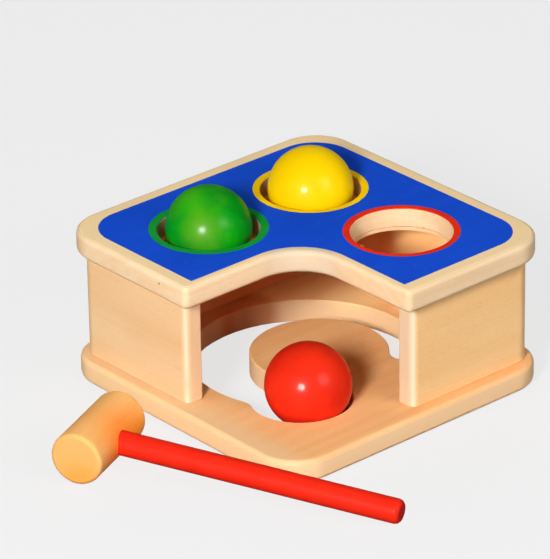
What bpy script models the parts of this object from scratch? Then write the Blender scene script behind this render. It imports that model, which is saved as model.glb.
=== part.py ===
"""Ball pounding bench: two wooden boards on four walls, three balls and a mallet.

Metres, +Z up. The origin is the middle of the bench's footprint on the ground.
The notch in the top board faces +X, -Y. Plan positions that follow the diagonal are
given as (u, v): u runs across the notch, v runs away from it.
"""
from math import asin, atan2, cos, degrees, hypot, pi, radians, sin, sqrt

import bmesh
import bpy
from mathutils import Matrix, Vector

# Clearances
GAP = 0.0003                # between pieces that touch or are glued
HOLE_CLEARANCE = 0.004      # round a ball in its hole

# Boards
BOARD_SIDE = 0.180
BOARD_THICK = 0.0125
CORNER_R = 0.023
EDGE_R = 0.0028             # rounded-over rims of both boards
INNER_HEIGHT = 0.059        # between the two boards

# Balls and their holes
BALL_D = 0.045
HOLE_PITCH = 0.070
RIM_CHAMFER = 0.0006

# Notch of the top board
NOTCH_EDGE = 0.011          # from the bench's middle to each notch edge
NOTCH_R = 0.025             # round inner corner
ARM_CORNER_R = 0.0035

# Walls
OVERHANG = 0.0074           # boards past the walls' outer faces
WALL_THICK = 0.011
FRONT_WALL_END = 0.0015     # front walls run this far past the bench's middle
WALL_CORNER_R = 0.0095
WALL_END_R = 0.004          # outer edge of a front wall's end
WALL_INNER_R = 0.0015       # inner edge of a front wall's end

# Slot of the bottom board
SLOT_OUTER_R = 0.0615
TONGUE_R = 0.0365
TONGUE_U = 0.0063
TONGUE_V = 0.004
SLOT_END_ANGLE = 4.5        # degrees from +u to the slot's narrow end
SLOT_CORNER_R = 0.006       # where the slot's two sides run into the exit hole
SLOT_CHAMFER = 0.0006

# Dowels
DOWEL_D = 0.006
DOWEL_IN_BOARD = 0.008
DOWEL_IN_WALL = 0.014
DOWEL_END_INSET = 0.018     # from a wall's end to its nearest dowel
DOWEL_CHAMFER = 0.0008

# Ball retainers
RETAINER_THICK = 0.002
RETAINER_SEAT = 0.0045      # ring width outside the hole
FINGER_WIDTH = 0.006
FINGER_HEADING = -45.0      # degrees from +X to the middle finger, on the notch's side
FINGER_SPREAD = 94.0        # degrees from the middle finger to the other two

# Red ball standing in the exit hole
EXIT_LEAN_ANGLE = -50.0     # degrees in (u, v) to the rim it has rolled against

# Mallet
HEAD_D = 0.028
HEAD_LENGTH = 0.053
HEAD_EDGE_R = 0.0025
HANDLE_D = 0.0128
HANDLE_REACH = 0.165        # from the head's axis to the handle's end
HANDLE_SEAT = 0.019         # how deep the handle goes into the head
HANDLE_END_R = 0.003
HEAD_X = -0.0004
HEAD_Y = -0.139
HEAD_TURN = 114.5           # degrees from +X to the head's axis

# Smoothness of round shapes
ARC_STEP = 7.5              # degrees
HOLE_STEPS = 48
BALL_SEGMENTS = 32
TURNED_STEPS = 32
DOWEL_STEPS = 12
ROUND_STEPS = 3
SMOOTH_ANGLE = 40.0         # degrees; sharper edges stay sharp
ROUND_ANGLE = 60.0          # degrees; sharper edges are rounded
FLAT_ANGLE = 0.5            # degrees; flatter edges are dissolved
WELD = 1e-6

# Worked-out sizes
HALF = BOARD_SIDE / 2
BALL_R = BALL_D / 2
HOLE_R = BALL_R + HOLE_CLEARANCE
HOLE_AT = HOLE_PITCH / 2
WALL_OUT = HALF - OVERHANG
WALL_IN = WALL_OUT - WALL_THICK
TOP_UNDER = BOARD_THICK + INNER_HEIGHT
TOP_Z = TOP_UNDER + BOARD_THICK
WALL_LOW = BOARD_THICK + GAP
WALL_HEIGHT = INNER_HEIGHT - 2 * GAP
RETAINER_R = HOLE_R + RETAINER_SEAT
RETAINER_TOP = TOP_UNDER + RETAINER_THICK
FINGER_TIP_R = sqrt(BALL_R ** 2 - (TOP_Z - RETAINER_TOP) ** 2) + GAP
EXIT_V = -HOLE_AT * sqrt(2)
HEAD_R = HEAD_D / 2
HANDLE_R = HANDLE_D / 2

# Material name, colour and roughness
WOOD = ("wood", (0.80, 0.56, 0.31), 0.5)
DOWEL_WOOD = ("dowel_wood", (0.85, 0.65, 0.40), 0.6)
MALLET_WOOD = ("mallet_wood", (0.83, 0.50, 0.20), 0.4)
RUBBER = ("rubber", (0.62, 0.45, 0.26), 0.7)
GREEN_STAIN = ("green_stain", (0.03, 0.33, 0.05), 0.15)
YELLOW_STAIN = ("yellow_stain", (0.90, 0.66, 0.01), 0.15)
RED_STAIN = ("red_stain", (0.75, 0.03, 0.015), 0.15)
HANDLE_RED = ("handle_red", (0.75, 0.03, 0.015), 0.3)


def clear_scene():
    for thing in list(bpy.data.objects):
        bpy.data.objects.remove(thing, do_unlink=True)


def new_collection(name):
    collection = bpy.data.collections.new(name)
    bpy.context.scene.collection.children.link(collection)
    return collection


def new_material(name, colour, roughness):
    material = bpy.data.materials.new(name)
    material.use_nodes = True
    shader = material.node_tree.nodes["Principled BSDF"]
    shader.inputs["Base Color"].default_value = (*colour, 1)
    shader.inputs["Roughness"].default_value = roughness
    shader.inputs["Metallic"].default_value = 0
    return material


def mesh_object(name, mesh, collection):
    thing = bpy.data.objects.new(name, mesh)
    collection.objects.link(thing)
    return thing


def finish(thing, material):
    thing.data.materials.append(material)
    thing.data.shade_smooth()
    thing.data.set_sharp_from_angle(angle=radians(SMOOTH_ANGLE))


def arc(centre, radius, start, end):
    """Points on an arc from start to end, in degrees."""
    steps = max(2, round(abs(end - start) / ARC_STEP))
    angles = [radians(start + (end - start) * k / steps) for k in range(steps + 1)]
    return [(centre[0] + radius * cos(a), centre[1] + radius * sin(a)) for a in angles]


def circle(centre, radius, steps):
    angles = [2 * pi * k / steps for k in range(steps)]
    return [(centre[0] + radius * cos(a), centre[1] + radius * sin(a)) for a in angles]


def from_diagonal(u, v):
    return ((u - v) / sqrt(2), (u + v) / sqrt(2))


def rounded_rectangle(low, high, radii):
    """Corners in the order low-low, high-low, high-high, low-high; radius 0 is sharp."""
    corners = [(low[0], low[1]), (high[0], low[1]), (high[0], high[1]), (low[0], high[1])]
    inward = [(1, 1), (-1, 1), (-1, -1), (1, -1)]
    points = []
    for k, (corner, side, radius) in enumerate(zip(corners, inward, radii)):
        if radius == 0:
            points.append(corner)
        else:
            centre = (corner[0] + side[0] * radius, corner[1] + side[1] * radius)
            points += arc(centre, radius, 180 + 90 * k, 270 + 90 * k)
    return points


def plate(name, outlines, low, thickness, collection):
    """A flat solid: the first outline is its edge, any others are holes."""
    curve = bpy.data.curves.new(name, "CURVE")
    curve.dimensions = "2D"
    curve.fill_mode = "BOTH"
    curve.extrude = thickness / 2
    for outline in outlines:
        spline = curve.splines.new("POLY")
        spline.points.add(len(outline) - 1)
        for point, (x, y) in zip(spline.points, outline):
            point.co = (x, y, 0, 1)
        spline.use_cyclic_u = True
    flat = bpy.data.objects.new(name, curve)
    collection.objects.link(flat)
    mesh = bpy.data.meshes.new_from_object(flat.evaluated_get(bpy.context.evaluated_depsgraph_get()))
    bpy.data.objects.remove(flat, do_unlink=True)
    body = bmesh.new()
    body.from_mesh(mesh)
    bmesh.ops.remove_doubles(body, verts=body.verts, dist=WELD)
    bmesh.ops.dissolve_limit(body, angle_limit=radians(FLAT_ANGLE), verts=body.verts, edges=body.edges)
    bmesh.ops.recalc_face_normals(body, faces=body.faces)
    bmesh.ops.translate(body, verts=body.verts, vec=(0, 0, low + thickness / 2))
    body.to_mesh(mesh)
    body.free()
    mesh.name = name
    return mesh_object(name, mesh, collection)


def turned(name, profile, steps, collection):
    """A turned solid from (radius, height) points that run top to bottom."""
    mesh = bpy.data.meshes.new(name)
    mesh.from_pydata([(r, 0, z) for r, z in profile], [(k, k + 1) for k in range(len(profile) - 1)], [])
    thing = mesh_object(name, mesh, collection)
    screw = thing.modifiers.new("turn", "SCREW")
    screw.axis = "Z"
    screw.steps = steps
    screw.render_steps = steps
    screw.use_merge_vertices = True
    screw.merge_threshold = WELD
    return thing


def rods(name, placements, radius, length, steps, collection):
    """Separate rods in one object; each placement is the matrix of a rod's middle, along its Z."""
    body = bmesh.new()
    for placement in placements:
        bmesh.ops.create_cone(
            body, cap_ends=True, segments=steps, radius1=radius, radius2=radius,
            depth=length, matrix=placement
        )
    mesh = bpy.data.meshes.new(name)
    body.to_mesh(mesh)
    body.free()
    return mesh_object(name, mesh, collection)


def as_cutter(thing):
    thing.hide_render = True
    thing.display_type = "WIRE"
    return thing


def cut(thing, cutter):
    boolean = thing.modifiers.new("cut_" + cutter.name, "BOOLEAN")
    boolean.operation = "DIFFERENCE"
    boolean.solver = "EXACT"
    boolean.object = cutter


def round_edges(thing, width, segments):
    bevel = thing.modifiers.new("round", "BEVEL")
    bevel.limit_method = "ANGLE"
    bevel.angle_limit = radians(ROUND_ANGLE)
    bevel.width = width
    bevel.segments = segments
    bevel.use_clamp_overlap = False


def hole_cutter(name, x, y):
    """A ball hole of the top board: a chamfered upper rim, and the retainer's recess below."""
    above, below = TOP_Z + GAP, TOP_UNDER - GAP
    seat_r, seat_top = RETAINER_R + GAP, RETAINER_TOP + GAP
    profile = [(0, above), (HOLE_R + RIM_CHAMFER + GAP, above), (HOLE_R, TOP_Z - RIM_CHAMFER)]
    profile += [(HOLE_R, seat_top), (seat_r, seat_top), (seat_r, below), (0, below)]
    cutter = as_cutter(turned(name, profile, HOLE_STEPS, CUTTERS))
    cutter.location = (x, y, 0)
    return cutter


def circles_meet(c0, r0, c1, r1, side):
    """Where two circles cross; side +1 is left of the way from c0 to c1."""
    dx, dy = c1[0] - c0[0], c1[1] - c0[1]
    apart = hypot(dx, dy)
    along = (r0 ** 2 - r1 ** 2 + apart ** 2) / (2 * apart)
    off = side * sqrt(r0 ** 2 - along ** 2)
    return (c0[0] + (along * dx - off * dy) / apart, c0[1] + (along * dy + off * dx) / apart)


def angle_of(point, centre):
    return degrees(atan2(point[1] - centre[1], point[0] - centre[0]))


def short_arc(centre, radius, start, end):
    """An arc that turns the shorter way."""
    turn = (end - start + 180) % 360 - 180
    return arc(centre, radius, start, start + turn)


def slot_outline():
    """The slot, the exit hole and the rim of the tongue as one outline, with round corners."""
    middle = (0, 0)
    tongue = (TONGUE_U, TONGUE_V)
    exit_hole = (0, EXIT_V)
    heading = (cos(radians(SLOT_END_ANGLE)), sin(radians(SLOT_END_ANGLE)))
    both = SLOT_OUTER_R + TONGUE_R
    lean = heading[0] * TONGUE_U + heading[1] * TONGUE_V
    end_at = (both ** 2 - TONGUE_U ** 2 - TONGUE_V ** 2) / (2 * (both - lean))
    end = (end_at * heading[0], end_at * heading[1])
    end_r = SLOT_OUTER_R - end_at
    corner, rounded_hole = SLOT_CORNER_R, HOLE_R + SLOT_CORNER_R
    shoulder = circles_meet(middle, SLOT_OUTER_R + corner, exit_hole, rounded_hole, -1)
    nose = circles_meet(tongue, TONGUE_R - corner, exit_hole, rounded_hole, -1)
    from_tongue = angle_of(end, tongue)
    to_nose = angle_of(nose, tongue) % 360
    exit_start = angle_of(shoulder, exit_hole) % 360
    exit_end = angle_of(nose, exit_hole) % 360 + 360
    points = arc(middle, SLOT_OUTER_R, SLOT_END_ANGLE, angle_of(shoulder, middle) % 360)
    points += short_arc(shoulder, corner, angle_of(middle, shoulder), angle_of(exit_hole, shoulder))[1:]
    points += arc(exit_hole, HOLE_R, exit_start, exit_end)[1:]
    points += short_arc(nose, corner, angle_of(exit_hole, nose), to_nose)[1:]
    points += arc(tongue, TONGUE_R, to_nose, from_tongue)[1:]
    points += arc(end, end_r, from_tongue + 180, SLOT_END_ANGLE + 360)[1:-1]
    return [from_diagonal(u, v) for u, v in points]


def board_outline():
    return rounded_rectangle((-HALF, -HALF), (HALF, HALF), [CORNER_R] * 4)


def notched_outline():
    """The top board: three round corners, two arm ends and the round inner corner."""
    near, far = -HALF + CORNER_R, HALF - CORNER_R
    inner = (NOTCH_EDGE + NOTCH_R, -NOTCH_EDGE - NOTCH_R)
    points = arc((near, near), CORNER_R, 180, 270)
    points += arc((NOTCH_EDGE - ARM_CORNER_R, -HALF + ARM_CORNER_R), ARM_CORNER_R, 270, 360)
    points += arc(inner, NOTCH_R, 180, 90)
    points += arc((HALF - ARM_CORNER_R, -NOTCH_EDGE + ARM_CORNER_R), ARM_CORNER_R, 270, 360)
    points += arc((far, far), CORNER_R, 0, 90)
    points += arc((near, far), CORNER_R, 90, 180)
    return points


def wall_plans():
    """Name, low corner, high corner and corner radii of each wall."""
    glued = WALL_IN - GAP
    return [
        ("front_left", (-WALL_OUT, -WALL_OUT), (FRONT_WALL_END, -WALL_IN),
         (WALL_CORNER_R, WALL_END_R, WALL_INNER_R, 0)),
        ("front_right", (WALL_IN, -FRONT_WALL_END), (WALL_OUT, WALL_OUT),
         (WALL_INNER_R, WALL_END_R, WALL_CORNER_R, 0)),
        ("back_left", (-WALL_OUT, -glued), (-WALL_IN, WALL_OUT), (0, 0, 0, WALL_CORNER_R)),
        ("back_right", (-glued, WALL_IN), (glued, WALL_OUT), (0, 0, 0, 0)),
    ]


def dowel_places(low, high):
    """Plan positions of a wall's dowels, on its middle line."""
    middle = Vector(((low[0] + high[0]) / 2, (low[1] + high[1]) / 2))
    length = Vector((high[0] - low[0], high[1] - low[1]))
    along = Vector((1, 0)) if length.x > length.y else Vector((0, 1))
    reach = max(length) / 2 - DOWEL_END_INSET
    return [middle - along * reach, middle + along * reach]


def dowel_matrices(places):
    length = DOWEL_IN_BOARD + DOWEL_IN_WALL
    low_z = BOARD_THICK - DOWEL_IN_BOARD + length / 2
    high_z = TOP_UNDER + DOWEL_IN_BOARD - length / 2
    return [Matrix.Translation((place.x, place.y, z)) for place in places for z in (low_z, high_z)]


def build_walls_and_dowels(wood, pale_wood):
    """Returns the cutter of every dowel hole."""
    length = DOWEL_IN_BOARD + DOWEL_IN_WALL
    every_place = []
    walls = []
    for name, low, high, radii in wall_plans():
        outline = rounded_rectangle(low, high, radii)
        walls.append(plate(name + "_wall", [outline], WALL_LOW, WALL_HEIGHT, PARTS))
        places = dowel_matrices(dowel_places(low, high))
        every_place += places
        for number, place in enumerate(places, 1):
            dowel = rods(f"{name}_dowel_{number}", [Matrix()], DOWEL_D / 2, length, DOWEL_STEPS, PARTS)
            dowel.location = place.translation
            round_edges(dowel, DOWEL_CHAMFER, 1)
            finish(dowel, pale_wood)
    holes = as_cutter(
        rods("dowel_holes", every_place, DOWEL_D / 2 + GAP, length + 2 * GAP, DOWEL_STEPS, CUTTERS)
    )
    for wall in walls:
        cut(wall, holes)
        finish(wall, wood)
    return holes


def build_boards(wood, dowel_holes):
    top = plate("top_board", [notched_outline()], TOP_UNDER, BOARD_THICK, PARTS)
    round_edges(top, EDGE_R, ROUND_STEPS)
    for colour, x, y in HOLES:
        cut(top, hole_cutter(colour + "_hole", x, y))
    cut(top, dowel_holes)
    finish(top, wood)
    bottom = plate("bottom_board", [board_outline()], 0, BOARD_THICK, PARTS)
    round_edges(bottom, EDGE_R, ROUND_STEPS)
    cut(bottom, as_cutter(plate("slot", [slot_outline()], -GAP, BOARD_THICK + 2 * GAP, CUTTERS)))
    round_edges(bottom, SLOT_CHAMFER, 1)
    cut(bottom, dowel_holes)
    finish(bottom, wood)


def finger_outline(x, y):
    """The inner edge of a retainer: the hole's circle, broken by fingers that reach in."""
    half = FINGER_WIDTH / 2
    root = degrees(asin(half / HOLE_R))
    tip = degrees(asin(half / FINGER_TIP_R))
    headings = [FINGER_HEADING + turn for turn in (-FINGER_SPREAD, 0, FINGER_SPREAD)]
    points = []
    for heading, following in zip(headings, headings[1:] + [headings[0] + 360]):
        points += arc((x, y), FINGER_TIP_R, heading - tip, heading + tip)
        points += arc((x, y), HOLE_R, heading + root, following - root)
    return points


def build_retainers(rubber):
    for colour, x, y in HOLES:
        outlines = [circle((x, y), RETAINER_R, HOLE_STEPS), finger_outline(x, y)]
        finish(plate(colour + "_retainer", outlines, TOP_UNDER, RETAINER_THICK, PARTS), rubber)


def build_ball(name, place, material):
    body = bmesh.new()
    bmesh.ops.create_uvsphere(body, u_segments=BALL_SEGMENTS, v_segments=BALL_SEGMENTS // 2, radius=BALL_R)
    mesh = bpy.data.meshes.new(name)
    body.to_mesh(mesh)
    body.free()
    ball = mesh_object(name, mesh, PARTS)
    ball.location = place
    finish(ball, material)


def red_ball_place():
    """On the ground in the exit hole, against the hole's rim."""
    drop = max(0, BALL_R - BOARD_THICK + SLOT_CHAMFER)
    lean = HOLE_R - sqrt(BALL_R ** 2 - drop ** 2) - GAP
    u = lean * cos(radians(EXIT_LEAN_ANGLE))
    v = EXIT_V + lean * sin(radians(EXIT_LEAN_ANGLE))
    return (*from_diagonal(u, v), BALL_R)


def rounded_end(radius, height, edge_r, top):
    """Profile points round one end's edge, in the order that turned() takes."""
    sign = 1 if top else -1
    angles = [radians(90 * k / ROUND_STEPS) for k in range(ROUND_STEPS + 1)]
    points = [(radius - edge_r + edge_r * cos(a), height + sign * edge_r * (sin(a) - 1)) for a in angles]
    return points[::-1] if top else points


def build_mallet(head_wood, red):
    """Lies on its head with the handle's end on the ground."""
    droop = asin((HEAD_R - HANDLE_R) / HANDLE_REACH)
    rest = bpy.data.objects.new("mallet", None)
    PARTS.objects.link(rest)
    rest.location = (HEAD_X, HEAD_Y, HEAD_R)
    rest.rotation_euler = (0, 0, radians(HEAD_TURN - 90))

    half = HEAD_LENGTH / 2
    profile = [(0, half), *rounded_end(HEAD_R, half, HEAD_EDGE_R, True)]
    profile += [*rounded_end(HEAD_R, -half, HEAD_EDGE_R, False), (0, -half)]
    head = turned("mallet_head", profile, TURNED_STEPS, PARTS)
    head.rotation_euler = (-pi / 2, 0, 0)
    head.parent = rest

    inner = HEAD_R - HANDLE_SEAT
    profile = [(0, HANDLE_REACH), *rounded_end(HANDLE_R, HANDLE_REACH, HANDLE_END_R, True)]
    profile += [(HANDLE_R, inner), (0, inner)]
    handle = turned("mallet_handle", profile, TURNED_STEPS, PARTS)
    handle.rotation_euler = (0, pi / 2 + droop, 0)
    handle.parent = rest

    depth = HANDLE_SEAT + HEAD_R
    socket = as_cutter(
        rods("handle_socket", [Matrix.Translation((0, 0, inner - GAP + depth / 2))],
             HANDLE_R + GAP, depth, TURNED_STEPS, CUTTERS)
    )
    socket.rotation_euler = handle.rotation_euler
    socket.parent = rest
    cut(head, socket)
    finish(head, head_wood)
    finish(handle, red)


clear_scene()
PARTS = new_collection("ball_pounding_bench")
CUTTERS = new_collection("cutters")
HOLES = [("green", -HOLE_AT, -HOLE_AT), ("yellow", -HOLE_AT, HOLE_AT), ("red", HOLE_AT, HOLE_AT)]
bench_wood = new_material(*WOOD)
dowel_holes = build_walls_and_dowels(bench_wood, new_material(*DOWEL_WOOD))
build_boards(bench_wood, dowel_holes)
build_retainers(new_material(*RUBBER))
build_ball("green_ball", (-HOLE_AT, -HOLE_AT, TOP_Z), new_material(*GREEN_STAIN))
build_ball("yellow_ball", (-HOLE_AT, HOLE_AT, TOP_Z), new_material(*YELLOW_STAIN))
build_ball("red_ball", red_ball_place(), new_material(*RED_STAIN))
build_mallet(new_material(*MALLET_WOOD), new_material(*HANDLE_RED))
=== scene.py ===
"""Looks of the ball pounding bench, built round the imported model. Metres, in the model's frame."""
from math import atan2, cos, degrees, hypot, radians, sin, sqrt

import bmesh
import bpy
from mathutils import Matrix, Vector


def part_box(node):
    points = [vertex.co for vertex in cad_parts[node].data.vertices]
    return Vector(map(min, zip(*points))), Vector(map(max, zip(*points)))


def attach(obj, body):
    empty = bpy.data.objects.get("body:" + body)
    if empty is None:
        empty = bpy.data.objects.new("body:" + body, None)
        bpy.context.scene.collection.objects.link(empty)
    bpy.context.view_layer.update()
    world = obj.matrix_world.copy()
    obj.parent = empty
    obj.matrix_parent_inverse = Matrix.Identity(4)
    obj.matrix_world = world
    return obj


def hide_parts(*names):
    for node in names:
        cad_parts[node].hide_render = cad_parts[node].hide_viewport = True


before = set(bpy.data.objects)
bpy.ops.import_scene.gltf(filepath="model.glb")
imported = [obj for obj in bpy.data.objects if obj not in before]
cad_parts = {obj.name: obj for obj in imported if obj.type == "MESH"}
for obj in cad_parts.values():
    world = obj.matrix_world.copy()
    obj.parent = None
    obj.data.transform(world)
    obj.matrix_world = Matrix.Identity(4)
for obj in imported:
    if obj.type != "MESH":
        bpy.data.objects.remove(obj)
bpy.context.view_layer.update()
X, Y, Z = 0, 1, 2

# Bench sizes that the painted areas follow
TOP_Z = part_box("top_board")[1].z
BALL_R = 0.0225
HOLE_R = 0.0265
HOLE_AT = 0.035             # from the bench's middle to a hole's, along X and along Y
RIM_CHAMFER = 0.0006
SLOT_OUTER_R = 0.0615
TONGUE_R = 0.0365
TONGUE = (0.0063, 0.004)
SLOT_END_ANGLE = 4.5
SLOT_CORNER_R = 0.006
HOLE_CENTRES = {"green": (-HOLE_AT, -HOLE_AT), "yellow": (-HOLE_AT, HOLE_AT), "red": (HOLE_AT, HOLE_AT)}

# Painted areas
PAINT_THICK = 0.00006
PAINT_TOP = TOP_Z + PAINT_THICK
PRINT_HALF = 0.0815
PRINT_CORNER_R = 0.0215
PRINT_NOTCH = 0.006
PRINT_NOTCH_R = 0.030
RING_R = {"green": 0.031, "yellow": 0.0303, "red": 0.0302}
RING_LIP = (                # where a ring turns down over its hole's chamfer, as (radius, height)
    (HOLE_R + RIM_CHAMFER, PAINT_TOP),
    (HOLE_R + 0.0001, TOP_Z - 0.0004),
    (HOLE_R + 0.00025, TOP_Z - 0.0005),
    (HOLE_R + RIM_CHAMFER + 0.0001, TOP_Z),
)
UNDER_HALF = 0.0815
UNDER_CORNER_R = 0.017
LINE_IN = 0.0012            # the red line's two edges, out from the slot's
LINE_OUT = 0.0034
UNDERSIDE = 1e-6            # points lower than this are on the underside

# Mallet
HEAD_TURN = 114.5
HEAD_CENTRE = (-0.0004, -0.139)
HEAD_R = 0.014
HANDLE_R = 0.0064
HANDLE_REACH = 0.165
HANDLE_HEADING = radians(HEAD_TURN - 90)

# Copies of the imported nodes
WELD = 1e-5
SKIN_WELD = 1e-6
FLAT_ANGLE = radians(0.6)   # flatter edges are dissolved
SHARP_ANGLE = radians(36)
FLAT_WEIGHT = 100

# Texture: cycles per metre along the grain and across it, and the depth of the relief
GRAIN_X = (0, 0, 0)
GRAIN_Y = (0, 0, radians(-90))
GRAIN_Z = (0, radians(90), 0)
RING_STRETCH = (0.06, 1, 1)
RING_DRIFT = 0.013          # moves the growth rings on with each seed
GROWTH_RINGS = {
    "Scale": 48.0, "Distortion": 6.0, "Detail": 2.5, "Detail Scale": 0.8, "Detail Roughness": 0.55,
}
WOOD_STREAKS = (8, 46, 46)
WOOD_FIBRES = (34, 900, 900)
WOOD_FLECKS = (240, 1900, 1600)
WOOD_RELIEF = 0.00003
WOOD_ROUGH = 0.48
WOOD_ROUGH_SWING = 0.08
WOOD_SPECULAR = 0.03
# Pale rounded edges: part wear, part painted highlight where the rounding catches the light
EDGE_WEAR_AND_HIGHLIGHT = (246, 230, 204)
STAIN_MOTTLE = (60, 60, 60)
STAIN_FIBRES = (60, 900, 900)
STAIN_PATCH = 28
STAIN_RELIEF = 0.000015
STAIN_ROUGH = (0.40, 0.52)
STAIN_SPECULAR = 0.02
LACQUER_IOR = 1.15
LACQUER_HAZE_SWING = 0.03
INK_CLOUD = (24, 60, 60)
INK_FIBRES = (45, 900, 900)
INK_DUST = (900, 900, 900)
INK_DUST_LIFT = 0.08
INK_RELIEF = 0.00002
INK_ROUGH = (0.44, 0.60)
RUBBER_GRIT = (900, 900, 900)
RUBBER_CLOUD = (60, 60, 60)
RUBBER_RELIEF = 0.00004
RUBBER_ROUGH = (0.55, 0.8)
RUBBER_SPECULAR = 0.3

# Floor
SQUARE = ((-1, -1), (1, -1), (1, 1), (-1, 1))
FLOOR_REACH = 4.0
FLOOR_Z = -0.0002
BOUNCE_Z = -0.0004
FLOOR_ROUGH = 0.9
FLOOR_GREY = (0.14, 0.14, 0.14, 1)
BOUNCE_GREY = (0.50, 0.50, 0.50, 1)
WHITE = (1, 1, 1, 1)
FLOOR_GLOW = 0.74
BALL_SHADOW = (0.039, -0.008, 0.0)
SHADOW_CORE, SHADOW_REACH = 0.012, 0.022

# Lights, as (name, direction from the bench, side of the square, watts)
LIGHT_TARGET = Vector((0, 0, 0.05))
LIGHT_DISTANCE = 1.8
WORLD_STRENGTH = 0.08
FILLS = (
    ("key", (0.432, -0.779, 0.454), 0.36, 36.5),
    ("right", (0.907, 0.193, 0.375), 1.2, 13.5),
    ("left", (-0.610, -0.730, 0.310), 1.2, 3.2),
    ("behind", (-0.66, 0.68, 0.31), 1.2, 10.0),
)
CATCH_LIGHTS = (
    ("catch", (0.476, -0.812, 0.335), 0.45, 170.0),
    ("catch_right", (0.86, 0.08, 0.52), 0.8, 32.0),
)

# Camera
AZIMUTH, ELEVATION, ROLL = radians(49.127), radians(26.375), radians(-0.958)
FOCUS = Vector((0, 0, 0.084))
FOCUS_RIGHT, FOCUS_DOWN, FOCUS_AWAY = -0.015368, 0.025804, 2.3043
FOCAL_PX = 4500
IMAGE_HEIGHT_PX = 559
SENSOR = 36.0
VIEW_END = 20


def srgb(r, g, b):
    """Linear colour of an 8-bit screen colour."""
    def channel(v):
        v /= 255
        return v / 12.92 if v <= 0.04045 else ((v + 0.055) / 1.055) ** 2.4
    return (channel(r), channel(g), channel(b), 1)


def spot(at, reach, core, share, shade):
    """A soft spot of colour: a share of the shade within core of a point, and none beyond reach."""
    return at, reach, core, share, srgb(*shade)


def tint(axis, low, high, share, shade):
    """A tint by facing: none where a surface faces low along an axis, and a share of the shade at high."""
    return axis, low, high, share, srgb(*shade)


def on_handle(reach, height):
    """A point at a reach from the head's axis along the handle."""
    x, y = HEAD_CENTRE
    return (x + reach * cos(HANDLE_HEADING), y + reach * sin(HANDLE_HEADING), height)


class Paint:
    """A material's nodes, with short calls."""

    def __init__(self, name):
        self.material = bpy.data.materials.new(name)
        self.material.use_nodes = True
        self.tree = self.material.node_tree
        self.shader = self.tree.nodes["Principled BSDF"]

    def node(self, kind, inputs=(), out=0, **settings):
        made = self.tree.nodes.new("ShaderNode" + kind)
        for key, value in settings.items():
            setattr(made, key, value)
        for key, value in dict(inputs).items():
            self.put(made.inputs[key], value)
        return made.outputs[out]

    def put(self, socket, value):
        if isinstance(value, bpy.types.NodeSocket):
            self.tree.links.new(value, socket)
        else:
            socket.default_value = value

    def set(self, **inputs):
        for key, value in inputs.items():
            self.put(self.shader.inputs[key.replace("_", " ")], value)

    def maths(self, operation, a, b=0.0, clamp=False):
        return self.node("Math", {0: a, 1: b}, operation=operation, use_clamp=clamp)

    def ramp(self, value, low, high, top=1.0):
        """0 at low, top at high, smooth between."""
        return self.node(
            "MapRange", {"Value": value, "From Min": low, "From Max": high, "To Max": top},
            interpolation_type="SMOOTHSTEP",
        )

    def spread(self, value, low, high):
        """Stretches a 0 to 1 value over low to high."""
        return self.node("MapRange", {"Value": value, "To Min": low, "To Max": high})

    def mix(self, share, a, b):
        return self.node("Mix", {"Factor": share, 6: a, 7: b}, out=2, data_type="RGBA")

    def own_place(self):
        """The piece's own coordinates, in metres."""
        return self.node("TexCoord", out=3)

    def distance(self, point):
        """How far a surface is from a point."""
        return self.node("VectorMath", {0: self.own_place(), 1: point}, out=1, operation="DISTANCE")

    def place(self, turn=(0, 0, 0), centre=(0, 0, 0)):
        """Coordinates in metres round centre, turned so that the grain runs along X."""
        moved = self.node("VectorMath", {0: self.own_place(), 1: centre}, operation="SUBTRACT")
        return self.node("VectorRotate", {"Vector": moved, "Rotation": turn}, rotation_type="EULER_XYZ")

    def scaled(self, place, scale, shift=(0, 0, 0)):
        return self.node("Mapping", {"Vector": place, "Scale": scale, "Location": shift})

    def noise(self, place, scale, shift=(0, 0, 0), detail=2.0, rough=0.5):
        scaled = self.scaled(place, scale, shift)
        return self.node("TexNoise", {"Vector": scaled, "Scale": 1.0, "Detail": detail, "Roughness": rough})

    def mark(self, colour, spots):
        """Lays soft spots over a colour."""
        for at, reach, core, share, shade in spots:
            colour = self.mix(self.ramp(self.distance(at), reach, core, share), colour, shade)
        return colour

    def facing(self, axis):
        """How far a surface faces along an axis, from -1 to 1."""
        return self.node("SeparateXYZ", {0: self.node("NewGeometry", out=1)}, out=axis)

    def bump(self, height, depth):
        """Surface relief, with its depth in metres."""
        self.set(Normal=self.node("Bump", {"Height": height, "Distance": depth, "Strength": 1.0}))


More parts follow.
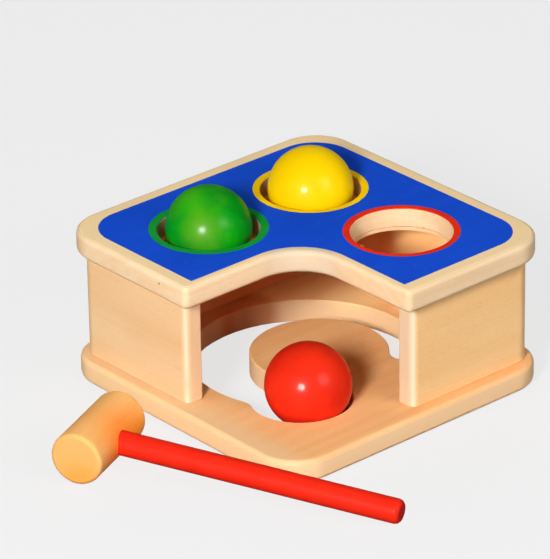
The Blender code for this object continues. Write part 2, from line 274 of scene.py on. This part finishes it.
def wood(name, turn, centre, pale, deep, seed, rim=None, sides=None, tints=(), rough=WOOD_ROUGH, spots=()):
    """Close-grained beech: faint growth rings, long soft streaks, fibres and small flecks.

    pale and deep are the lightest and darkest shade, rim the axis and share of pale rounded edges, part
    wear and part painted highlight, and sides the share and shade of upright faces.
    """
    paint = Paint(name)
    pale, deep = srgb(*pale), srgb(*deep)
    place = paint.place(turn, centre)
    shift = (seed * 1.7, seed * 2.3, seed * 0.9)
    along = paint.scaled(place, RING_STRETCH, shift=(seed * RING_DRIFT, 0, 0))
    rings = paint.node(
        "TexWave", {"Vector": along, **GROWTH_RINGS}, out=1, wave_type="RINGS", rings_direction="X"
    )
    streaks = paint.noise(place, WOOD_STREAKS, shift, detail=3)
    fibres = paint.noise(place, WOOD_FIBRES, shift, detail=3, rough=0.62)
    flecks = paint.noise(place, WOOD_FLECKS, shift, detail=1)
    tone = paint.maths("ADD", paint.ramp(rings, 0.1, 0.9, 0.16), paint.ramp(streaks, 0.28, 0.72, 0.52))
    tone = paint.maths("ADD", tone, paint.ramp(fibres, 0.3, 0.75, 0.22), clamp=True)
    colour = paint.mix(tone, pale, deep)
    fleck = paint.ramp(flecks, 0.60, 0.74, 0.16)
    colour = paint.mix(fleck, colour, (deep[0] * 0.62, deep[1] * 0.50, deep[2] * 0.42, 1))
    if sides:
        share, shade = sides
        upright = paint.ramp(paint.maths("ABSOLUTE", paint.facing(Z)), 0.6, 0.12, share)
        colour = paint.mix(upright, colour, srgb(*shade))
    for axis, low, high, share, shade in tints:
        colour = paint.mix(paint.ramp(paint.facing(axis), low, high, share), colour, shade)
    if rim:
        axis, share = rim
        facing = paint.facing(axis)
        # 1 where a surface lies halfway between along the axis and across it, as a rounded edge does
        doubled = paint.maths("MULTIPLY", paint.maths("MULTIPLY", facing, facing), 2.0)
        edge = paint.maths("SUBTRACT", 1.0, paint.maths("ABSOLUTE", paint.maths("SUBTRACT", doubled, 1.0)))
        # Pale rounded edges, part wear and part painted highlight where the rounding catches the light
        worn_and_highlit = paint.maths("MULTIPLY", paint.ramp(edge, 0.15, 0.95, share), paint.ramp(streaks, 0.2, 0.5))
        colour = paint.mix(worn_and_highlit, colour, srgb(*EDGE_WEAR_AND_HIGHLIGHT))
    colour = paint.mark(colour, spots)
    paint.set(Base_Color=colour, Specular_IOR_Level=WOOD_SPECULAR)
    paint.set(Roughness=paint.spread(fibres, rough - WOOD_ROUGH_SWING, rough + WOOD_ROUGH_SWING))
    paint.bump(paint.maths("SUBTRACT", fibres, fleck), WOOD_RELIEF)
    return paint.material


def stain(name, colour, deep, glow, seed, turn, coat, haze=0.17, patchy=0.5, patch=STAIN_PATCH, spots=()):
    """Stain that soaked a little unevenly into turned wood, under a clear lacquer.

    colour, deep and glow are the main, darker and thinner shades, and patchy and patch the share and
    cycles per metre of the thinner one. coat and haze are the lacquer's weight and roughness.
    """
    paint = Paint(name)
    place = paint.place(turn)
    deep = srgb(*deep)
    shift = (seed * 3.1, seed * 1.9, seed * 2.7)
    mottle = paint.noise(place, STAIN_MOTTLE, shift, detail=4, rough=0.55)
    fibres = paint.noise(place, STAIN_FIBRES, shift, detail=2)
    thin = paint.noise(place, (patch, patch, patch), (shift[2], shift[0], shift[1]), detail=3)
    shade = paint.mix(paint.ramp(mottle, 0.34, 0.72), srgb(*colour), deep)
    shade = paint.mix(paint.ramp(fibres, 0.50, 0.80, 0.25), shade, deep)
    shade = paint.mix(paint.ramp(thin, 0.42, 0.74, patchy), shade, srgb(*glow))
    shade = paint.mark(shade, spots)
    hazy = paint.spread(fibres, haze - LACQUER_HAZE_SWING, haze + LACQUER_HAZE_SWING)
    paint.set(Base_Color=shade, Specular_IOR_Level=STAIN_SPECULAR, Coat_IOR=LACQUER_IOR)
    paint.set(Coat_Weight=coat, Coat_Roughness=hazy)
    paint.set(Roughness=paint.spread(mottle, *STAIN_ROUGH))
    paint.bump(paint.maths("ADD", mottle, fibres), STAIN_RELIEF)
    return paint.material


def print_ink(name, colour, deep, seed):
    """Screen-printed paint: nearly flat, with the grain showing faintly through and fine dust in it."""
    paint = Paint(name)
    colour, deep = srgb(*colour), srgb(*deep)
    place = paint.place(GRAIN_Y)
    shift = (seed * 1.3, seed * 2.1, seed)
    cloud = paint.noise(place, INK_CLOUD, shift, detail=4)
    fibres = paint.noise(place, INK_FIBRES, shift, detail=2)
    dust = paint.noise(place, INK_DUST, shift, detail=0)
    shade = paint.mix(paint.ramp(cloud, 0.3, 0.75), colour, deep)
    shade = paint.mix(paint.ramp(fibres, 0.5, 0.8, 0.3), shade, deep)
    pale = [min(1, channel + INK_DUST_LIFT) for channel in colour[:3]]
    shade = paint.mix(paint.ramp(dust, 0.80, 0.86, 0.4), shade, (*pale, 1))
    paint.set(Base_Color=shade, Specular_IOR_Level=0.0)
    paint.set(Roughness=paint.spread(fibres, *INK_ROUGH))
    paint.bump(fibres, INK_RELIEF)
    return paint.material


def rubber(name):
    """Pale natural latex with a fine grit."""
    paint = Paint(name)
    place = paint.place()
    grit = paint.noise(place, RUBBER_GRIT, detail=3)
    cloud = paint.noise(place, RUBBER_CLOUD, detail=3)
    shade = paint.mix(paint.ramp(cloud, 0.3, 0.7), srgb(240, 202, 154), srgb(228, 186, 136))
    shade = paint.mix(paint.ramp(grit, 0.5, 0.8, 0.3), shade, srgb(208, 162, 112))
    paint.set(Base_Color=shade, Specular_IOR_Level=RUBBER_SPECULAR)
    paint.set(Roughness=paint.spread(grit, *RUBBER_ROUGH))
    paint.bump(grit, RUBBER_RELIEF)
    return paint.material


def link(thing):
    bpy.context.scene.collection.objects.link(thing)
    return thing


def dress(node, name, material, body, refine=None):
    """A smooth-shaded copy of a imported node, welded and with its flat faces joined again."""
    work = bmesh.new()
    work.from_mesh(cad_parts[node].data)
    bmesh.ops.remove_doubles(work, verts=work.verts, dist=WELD)
    if refine:
        refine(work, node)
    else:
        bmesh.ops.dissolve_limit(work, angle_limit=FLAT_ANGLE, verts=work.verts, edges=work.edges)
    bmesh.ops.recalc_face_normals(work, faces=work.faces)
    mesh = bpy.data.meshes.new(name)
    work.to_mesh(mesh)
    work.free()
    for spare in ("custom_normal", "sharp_face", "sharp_edge"):
        if spare in mesh.attributes:
            mesh.attributes.remove(mesh.attributes[spare])
    mesh.materials.clear()
    mesh.materials.append(material)
    mesh.shade_smooth()
    mesh.set_sharp_from_angle(angle=SHARP_ANGLE)
    piece = link(bpy.data.objects.new(name, mesh))
    if not refine:
        weighted = piece.modifiers.new("flat faces stay flat", "WEIGHTED_NORMAL")
        weighted.keep_sharp = True
        weighted.weight = FLAT_WEIGHT
    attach(piece, body)
    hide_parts(node)
    return piece


def round_ball(work, node):
    """Splits a ball's faces and sets every point back on the true sphere."""
    low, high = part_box(node)
    centre = (low + high) / 2
    bmesh.ops.subdivide_edges(work, edges=work.edges, cuts=1, use_grid_fill=True)
    for vert in work.verts:
        vert.co = centre + (vert.co - centre).normalized() * BALL_R


def arc(centre, radius, start, end, step=3.0):
    """Points along an arc, with its angles and step in degrees."""
    steps = max(2, round(abs(end - start) / step))
    angles = [radians(start + (end - start) * k / steps) for k in range(steps + 1)]
    return [(centre[0] + radius * cos(a), centre[1] + radius * sin(a)) for a in angles]


def short_arc(centre, radius, start, end):
    """An arc that turns the shorter way."""
    turn = (end - start + 180) % 360 - 180
    return arc(centre, radius, start, start + turn)


def circle(centre, radius):
    return arc(centre, radius, 0, 360)[:-1]


def skin(name, outlines, low, high, material):
    """A thin layer of paint between two heights: the first outline is its edge, the others are holes."""
    curve = bpy.data.curves.new(name, "CURVE")
    curve.dimensions = "2D"
    curve.fill_mode = "BOTH"
    curve.extrude = (high - low) / 2
    for outline in outlines:
        spline = curve.splines.new("POLY")
        spline.points.add(len(outline) - 1)
        for point, (x, y) in zip(spline.points, outline):
            point.co = (x, y, 0, 1)
        spline.use_cyclic_u = True
    flat = link(bpy.data.objects.new(name, curve))
    mesh = bpy.data.meshes.new_from_object(flat.evaluated_get(bpy.context.evaluated_depsgraph_get()))
    bpy.data.objects.remove(flat, do_unlink=True)
    bpy.data.curves.remove(curve)
    mesh.name = name
    mesh.transform(Matrix.Translation((0, 0, (low + high) / 2)))
    work = bmesh.new()
    work.from_mesh(mesh)
    bmesh.ops.remove_doubles(work, verts=work.verts, dist=SKIN_WELD)
    bmesh.ops.recalc_face_normals(work, faces=work.faces)
    work.to_mesh(mesh)
    work.free()
    mesh.materials.clear()
    mesh.materials.append(material)
    piece = link(bpy.data.objects.new(name, mesh))
    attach(piece, "bench")


def turned_ring(name, centre, section, material):
    """A ring of paint: a closed outline of (radius, height) turned round a hole."""
    work = bmesh.new()
    loops = []
    for x, y in circle((0, 0), 1.0):
        loops.append([work.verts.new((centre[0] + r * x, centre[1] + r * y, z)) for r, z in section])
    for here, there in zip(loops, loops[1:] + loops[:1]):
        for k, vert in enumerate(here):
            work.faces.new((vert, there[k], there[k - 1], here[k - 1]))
    bmesh.ops.recalc_face_normals(work, faces=work.faces)
    mesh = bpy.data.meshes.new(name)
    work.to_mesh(mesh)
    work.free()
    mesh.materials.append(material)
    piece = link(bpy.data.objects.new(name, mesh))
    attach(piece, "bench")


def print_outline():
    """The blue field: three round corners, two sharp arm ends and the round inner corner."""
    near, far = -PRINT_HALF + PRINT_CORNER_R, PRINT_HALF - PRINT_CORNER_R
    inner = (PRINT_NOTCH + PRINT_NOTCH_R, -PRINT_NOTCH - PRINT_NOTCH_R)
    points = arc((near, near), PRINT_CORNER_R, 180, 270)
    points.append((PRINT_NOTCH, -PRINT_HALF))
    points += arc(inner, PRINT_NOTCH_R, 180, 90)
    points.append((PRINT_HALF, -PRINT_NOTCH))
    points += arc((far, far), PRINT_CORNER_R, 0, 90)
    points += arc((near, far), PRINT_CORNER_R, 90, 180)
    return points


def rounded_square(half, radius):
    flat = half - radius
    points = []
    for k, (x, y) in enumerate(SQUARE):
        points += arc((x * flat, y * flat), radius, 180 + 90 * k, 270 + 90 * k)
    return points


def circles_meet(c0, r0, c1, r1):
    """Where two circles cross, right of the way from c0 to c1."""
    dx, dy = c1[0] - c0[0], c1[1] - c0[1]
    apart = hypot(dx, dy)
    reach = (r0 ** 2 - r1 ** 2 + apart ** 2) / (2 * apart)
    off = -sqrt(r0 ** 2 - reach ** 2)
    return (c0[0] + (reach * dx - off * dy) / apart, c0[1] + (reach * dy + off * dx) / apart)


def angle_of(point, centre):
    return degrees(atan2(point[1] - centre[1], point[0] - centre[0]))


def slot_outline(grow):
    """The slot and its exit hole in plan, grown outwards by a margin.

    It is worked out along the bench's diagonals, as (u, v), and turned at the end.
    """
    outer, tongue_r, hole_r = SLOT_OUTER_R + grow, TONGUE_R - grow, HOLE_R + grow
    corner = SLOT_CORNER_R - grow
    middle, exit_hole = (0, 0), (0, -HOLE_AT * sqrt(2))
    heading = (cos(radians(SLOT_END_ANGLE)), sin(radians(SLOT_END_ANGLE)))
    both = outer + tongue_r
    lean = heading[0] * TONGUE[0] + heading[1] * TONGUE[1]
    end_at = (both ** 2 - TONGUE[0] ** 2 - TONGUE[1] ** 2) / (2 * (both - lean))
    end = (end_at * heading[0], end_at * heading[1])
    shoulder = circles_meet(middle, outer + corner, exit_hole, hole_r + corner)
    nose = circles_meet(TONGUE, tongue_r - corner, exit_hole, hole_r + corner)
    from_tongue = angle_of(end, TONGUE)
    to_nose = angle_of(nose, TONGUE) % 360
    exit_start, exit_end = angle_of(shoulder, exit_hole) % 360, angle_of(nose, exit_hole) % 360 + 360
    points = arc(middle, outer, SLOT_END_ANGLE, angle_of(shoulder, middle) % 360)
    points += short_arc(shoulder, corner, angle_of(middle, shoulder), angle_of(exit_hole, shoulder))[1:]
    points += arc(exit_hole, hole_r, exit_start, exit_end)[1:]
    points += short_arc(nose, corner, angle_of(exit_hole, nose), to_nose)[1:]
    points += arc(TONGUE, tongue_r, to_nose, from_tongue)[1:]
    points += arc(end, outer - end_at, from_tongue + 180, SLOT_END_ANGLE + 360)[1:-1]
    return [((u - v) / sqrt(2), (u + v) / sqrt(2)) for u, v in points]


def sheet(name, height, paint):
    """A square of floor."""
    mesh = bpy.data.meshes.new(name)
    mesh.from_pydata([(x * FLOOR_REACH, y * FLOOR_REACH, height) for x, y in SQUARE], [], [(0, 1, 2, 3)])
    mesh.materials.append(paint.material)
    piece = link(bpy.data.objects.new(name, mesh))
    return piece


def area_light(name, towards, size, watts):
    """A square soft light in a direction from the bench, facing it."""
    lamp_data = bpy.data.lights.new(name, "AREA")
    lamp_data.energy = watts
    lamp_data.size = size
    lamp = link(bpy.data.objects.new(name, lamp_data))
    lamp.location = LIGHT_TARGET + Vector(towards).normalized() * LIGHT_DISTANCE
    lamp.rotation_euler = Vector(towards).to_track_quat("Z", "Y").to_euler()
    return lamp


# Top board: painted light that makes the flat top paler, two pin marks, painted shade that tones down the lit
# edge at the notch, and painted shade on the walls of the green and yellow holes, beside their balls
top_wood = wood(
    "top_board_wood", GRAIN_Y, (0.01, 0.0, -0.02), (239, 211, 173), (229, 188, 141), seed=1.0, rim=(Z, 0.2),
    # painted light: flat upward faces paler
    tints=[tint(Z, low=0.86, high=0.98, share=0.8, shade=(255, 224, 168))],
    spots=[
        spot((-0.0092, -0.090, 0.0800), reach=0.0010, core=0.0004, share=0.75, shade=(150, 96, 52)),
        spot((0.0250, 0.0596, 0.0733), reach=0.0011, core=0.0004, share=0.75, shade=(150, 96, 52)),
        # painted shade on the brightly lit edge at the notch
        spot((0.012, -0.012, 0.0778), reach=0.032, core=0.014, share=0.6, shade=(206, 190, 168)),
        # painted shade on the walls of the green and yellow holes, beside their balls
        spot((-HOLE_AT, -HOLE_AT, 0.0775), reach=0.0288, core=0.0275, share=0.55, shade=(140, 92, 54)),
        spot((-HOLE_AT, HOLE_AT, 0.0775), reach=0.0288, core=0.0275, share=0.55, shade=(140, 92, 54)),
    ],
)

# Bottom board: a pin mark, painted shade that makes the wall at the slot's left redder, painted light that
# makes the strip by the back right wall paler, and a paler strip along the left. The left strip's spot has a
# far centre, so that its edge runs straight.
base_wood = wood(
    "bottom_board_wood", GRAIN_Y, (-0.03, 0.0, -0.09), (247, 196, 137), (237, 168, 105), seed=2.0,
    rim=(Z, 0.12), sides=(0.85, (240, 202, 158)),
    spots=[
        spot((0.0306, 0.0117, 0.0125), reach=0.0007, core=0.0003, share=0.75, shade=(244, 206, 160)),
        # painted shade on the wall at the slot's left
        spot((-0.062, -0.014, 0.006), reach=0.022, core=0.012, share=0.6, shade=(206, 104, 58)),
        spot((-0.062, 0.012, 0.006), reach=0.022, core=0.012, share=0.6, shade=(206, 104, 58)),
        # painted light on the strip by the back right wall
        spot((-0.030, 0.060, 0.034), reach=0.031, core=0.020, share=0.85, shade=(255, 220, 158)),
        spot((-0.03, -10.08, 0.0125), reach=10.012, core=9.996, share=0.85, shade=(238, 197, 147)),
    ],
)

# Walls: the tints are on the front walls' ends and the back walls' insides, as painted shade on the back left
# wall's and painted light on the back right wall's. The back right wall's first spot takes that painted light
# off the upper part of its inside, and its second paints shade on the left of it. They are centred well
# inside the bench, so that they stay off its outer face.
wall_woods = {
    "front_left": wood(
        "front_left_wood", GRAIN_X, (0, -0.13, 0.03), (236, 198, 152), (228, 182, 130), seed=3.0,
        rim=(X, 0.5),
        tints=[tint(X, low=0.12, high=0.6, share=0.6, shade=(224, 188, 150))],
    ),
    "front_right": wood(
        "front_right_wood", GRAIN_Y, (0.14, 0, 0.05), (245, 201, 144), (236, 184, 122), seed=4.0,
        rim=(X, 0.5),
        tints=[tint(Y, low=-0.12, high=-0.6, share=0.65, shade=(210, 192, 168))],
    ),
    "back_left": wood(
        "back_left_wood", GRAIN_Y, (-0.12, 0, 0.02), (240, 188, 126), (228, 162, 94), seed=5.0,
        # painted shade on the inside
        tints=[tint(X, low=0.12, high=0.6, share=0.85, shade=(222, 124, 70))],
    ),
    "back_right": wood(
        "back_right_wood", GRAIN_X, (0, 0.13, 0.06), (242, 190, 130), (230, 164, 98), seed=6.0,
        # painted light on the inside
        tints=[tint(Y, low=-0.12, high=-0.6, share=0.8, shade=(255, 216, 164))],
        spots=[
            # takes the painted light off the upper part of the inside
            spot((0.004, 0.0116, 0.055), reach=0.0690, core=0.0626, share=0.9, shade=(246, 188, 122)),
            # painted shade on the left of the inside
            spot((-0.028, 0.0116, 0.045), reach=0.0646, core=0.0612, share=0.8, shade=(250, 156, 104)),
        ],
    ),
}

# Mallet: the head is deeper on its near end, has painted shade and a painted red reflection of the handle that
# turn it orange by the handle and at the far end, and is more orange low on the near end
head_wood = wood(
    "mallet_head_wood", (0, 0, radians(-HEAD_TURN)), (0.006, -0.143, 0.002),
    (251, 196, 126), (245, 174, 94), seed=7.0, rough=0.4,
    tints=[tint(Y, low=-0.45, high=-0.7, share=0.8, shade=(236, 172, 98))],
    spots=[
        # painted shade and painted red reflection of the handle
        spot(on_handle(HEAD_R, 0.011), reach=0.029, core=0.004, share=0.9, shade=(255, 130, 22)),
        spot((0.0060, -0.1180, 0.0110), reach=0.017, core=0.002, share=0.75, shade=(255, 150, 28)),
        spot((0.0135, -0.1625, 0.0015), reach=0.018, core=0.004, share=0.8, shade=(240, 158, 66)),
    ],
)
handle_end = on_handle(HANDLE_REACH + HANDLE_R, HANDLE_R)
handle_stain = stain(
    "handle_stain", (228, 39, 19), (220, 34, 16), (232, 45, 23), seed=9.0, turn=(0, 0, -HANDLE_HEADING),
    coat=0.15,
    spots=[spot(handle_end, reach=0.0092, core=0.0080, share=0.85, shade=(196, 36, 26))],
)

# Balls: the green one has a painted yellow-green glow round its highlight and is yellower at its upper left,
# and the yellow one has painted shade where it is most lit
ball_stains = {
    "green": stain(
        "green_ball_stain", (6, 150, 14), (0, 132, 26), (112, 184, 24), seed=10.0, turn=(0.6, 0.5, 0.9),
        coat=0.5, haze=0.20, patchy=0.14, patch=95,
        spots=[
            # painted glow round the highlight
            spot((-0.0218, -0.0510, 0.0929), reach=0.016, core=0.002, share=0.5, shade=(104, 156, 0)),
            spot((-0.0395, -0.0450, 0.1036), reach=0.015, core=0.001, share=0.32, shade=(96, 190, 24)),
        ],
    ),
    "yellow": stain(
        "yellow_ball_stain", (254, 212, 2), (252, 205, 0), (255, 216, 6), seed=11.0, turn=(0.6, 0.5, 1.9),
        coat=0.35, haze=0.12,
        # painted shade where the ball is most lit
        spots=[spot((-0.0253, 0.0175, 0.0942), reach=0.030, core=0.006, share=0.8, shade=(232, 190, 0))],
    ),
    "red": stain(
        "red_ball_stain", (223, 42, 18), (208, 35, 14), (233, 52, 24), seed=12.0, turn=(0.6, 0.5, 2.9),
        coat=0.5, haze=0.14,
    ),
}

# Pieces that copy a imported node. The mallet casts no shadow, as in the photo.
dress("top_board", "top_board_look", top_wood, "bench")
base_look = dress("bottom_board", "bottom_board_look", base_wood, "bench")
for side, material in wall_woods.items():
    dress(side + "_wall", side + "_wall_look", material, "bench")
dress("mallet_head", "mallet_head_look", head_wood, "mallet").visible_shadow = False
dress("mallet_handle", "mallet_handle_look", handle_stain, "mallet").visible_shadow = False
for colour, material in ball_stains.items():
    ball = colour + "_ball"
    dress(ball, ball + "_look", material, ball, refine=round_ball)

# Paint on the top board: a blue field and a ring round each hole
ring_inks = {
    "green": print_ink("green_ink", (28, 158, 58), (20, 142, 50), seed=2.0),
    "yellow": print_ink("yellow_ink", (255, 214, 10), (250, 202, 6), seed=3.0),
    "red": print_ink("red_ink", (238, 54, 24), (222, 44, 20), seed=4.0),
}
blue_ink = print_ink("blue_ink", (28, 82, 214), (24, 77, 208), seed=1.0)
ring_edges = [circle(centre, RING_R[colour]) for colour, centre in HOLE_CENTRES.items()]
skin("blue_print", [print_outline(), *ring_edges], TOP_Z, PAINT_TOP, blue_ink)
for colour, centre in HOLE_CENTRES.items():
    outer_edge = ((RING_R[colour], TOP_Z), (RING_R[colour], PAINT_TOP))
    turned_ring(colour + "_ring", centre, outer_edge + RING_LIP, ring_inks[colour])

# Paint under the bottom board: a yellow field with a red line along the slot. The board's copy makes room.
for vert in base_look.data.vertices:
    if vert.co.z < UNDERSIDE:
        vert.co.z = PAINT_THICK
under_ink = print_ink("under_ink", (250, 204, 24), (240, 190, 12), seed=5.0)
line_edge = slot_outline(LINE_OUT)
under_edge = rounded_square(UNDER_HALF, UNDER_CORNER_R)
skin("under_print", [under_edge, line_edge], 0, PAINT_THICK, under_ink)
skin("under_line", [line_edge, slot_outline(LINE_IN)], 0, PAINT_THICK, ring_inks["red"])

# Pieces that show as they are
rubber_look = rubber("retainer_rubber")
dowel_wood = wood(
    "dowel_beech", GRAIN_Z, (0, 0, 0), (246, 208, 158), (232, 178, 118), seed=8.0, rough=0.6
)
for node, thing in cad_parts.items():
    if node.endswith("_retainer"):
        thing.data.materials[0] = rubber_look
    elif "_dowel_" in node:
        thing.data.materials[0] = dowel_wood

# Floor: what the camera sees is a bright sheet with a soft shadow under the red ball, and what lights the
# bench from below is a plain grey one
bright = Paint("bright_floor")
bright.set(Base_Color=FLOOR_GREY, Roughness=FLOOR_ROUGH, Specular_IOR_Level=0.0, Emission_Color=WHITE)
from_ball = bright.distance(BALL_SHADOW)
bright.set(Emission_Strength=bright.ramp(from_ball, SHADOW_CORE, SHADOW_REACH, FLOOR_GLOW))
floor = sheet("floor", FLOOR_Z, bright)
floor.visible_diffuse = False
floor.visible_glossy = False
grey = Paint("grey_floor")
grey.set(Base_Color=BOUNCE_GREY, Roughness=FLOOR_ROUGH, Specular_IOR_Level=0.0)
sheet("floor_bounce", BOUNCE_Z, grey).visible_camera = False

# Light: a key from the front, wide fills from the right, the left and behind, and two lights that only
# shine in the lacquer
world = bpy.data.worlds.new("studio")
world.use_nodes = True
world.node_tree.nodes["Background"].inputs["Color"].default_value = WHITE
world.node_tree.nodes["Background"].inputs["Strength"].default_value = WORLD_STRENGTH
bpy.context.scene.world = world
for light in FILLS:
    area_light(*light).visible_glossy = False
for light in CATCH_LIGHTS:
    area_light(*light).visible_diffuse = False

# Camera
back = Vector((sin(AZIMUTH) * cos(ELEVATION), -cos(AZIMUTH) * cos(ELEVATION), sin(ELEVATION)))
right = Vector((cos(AZIMUTH), sin(AZIMUTH), 0))
up = back.cross(right)
across = cos(ROLL) * right + sin(ROLL) * up
down = sin(ROLL) * right - cos(ROLL) * up
camera_data = bpy.data.cameras.new("camera")
camera_data.sensor_fit = "VERTICAL"
camera_data.sensor_height = SENSOR
camera_data.lens = FOCAL_PX * SENSOR / IMAGE_HEIGHT_PX
camera_data.clip_end = VIEW_END
camera = link(bpy.data.objects.new("camera", camera_data))
place = FOCUS + FOCUS_RIGHT * across + FOCUS_DOWN * down + FOCUS_AWAY * back
camera.matrix_world = Matrix.Translation(place) @ Matrix((across, -down, back)).transposed().to_4x4()
bpy.context.scene.camera = camera
bpy.context.scene.view_settings.view_transform = "Standard"
